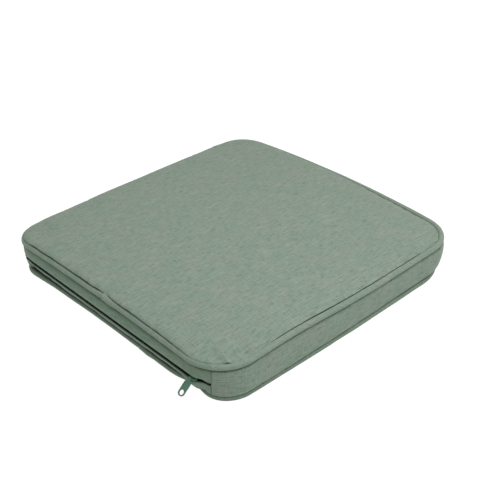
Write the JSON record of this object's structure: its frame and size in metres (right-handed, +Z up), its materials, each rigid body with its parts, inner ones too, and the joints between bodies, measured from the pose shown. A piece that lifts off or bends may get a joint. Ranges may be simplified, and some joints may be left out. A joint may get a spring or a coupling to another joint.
{
  "type": "chair seat pad",
  "caption": "Square boxed seat pad with rounded corners, a bowed front edge, piped seams, a foam and wadding filling, and a zip with a sliding pull along its straight back edge.",
  "frame": {"origin": "middle of the plan, on the flat underside that rests on the chair", "axes": "+Z up through the pad, +Y towards the straight zipped edge, -Y towards the bowed front edge, +X along the zip in the direction that the slider opens it"},
  "size_m": [0.4516, 0.5001, 0.062],
  "materials": {
    "cover_fabric": "matte",
    "foam": "matte",
    "wadding": "matte",
    "piping_cord": "matte",
    "zip_tape": "matte",
    "zip_coil": "satin",
    "sewing_thread": "satin",
    "zip_metal": "satin"
  },
  "bodies": {
    "pad": {"foam_core": "foam", "fibre_wrap": "wadding", "top_panel": "cover_fabric", "bottom_panel": "cover_fabric", "side_band": "cover_fabric", "zip_band_upper": "cover_fabric", "zip_band_lower": "cover_fabric", "piping_top_sleeve": "cover_fabric", "piping_bottom_sleeve": "cover_fabric", "piping_top_cord": "piping_cord", "piping_bottom_cord": "piping_cord", "zip_tape_upper": "zip_tape", "zip_tape_lower": "zip_tape", "zip_coil_upper": "zip_coil", "zip_coil_lower": "zip_coil", "seam_thread_top": "sewing_thread", "seam_thread_bottom": "sewing_thread", "hem_thread_upper": "sewing_thread", "hem_thread_lower": "sewing_thread"},
    "slider": {"zip_slider": "zip_metal"},
    "pull_tab": {"zip_pull_tab": "zip_metal"}
  },
  "joints": [
    {"name": "zip_slider_slide", "type": "slide", "parent": "pad", "child": "slider", "axis": [1, 0, 0], "range_m": [0, 0.335]},
    {"name": "pull_tab_swing", "type": "hinge", "parent": "slider", "child": "pull_tab", "pos_m": [-0.1694, 0.2394, 0.0255], "axis": [1, 0, 0], "range_deg": [-36, 100]}
  ]
}
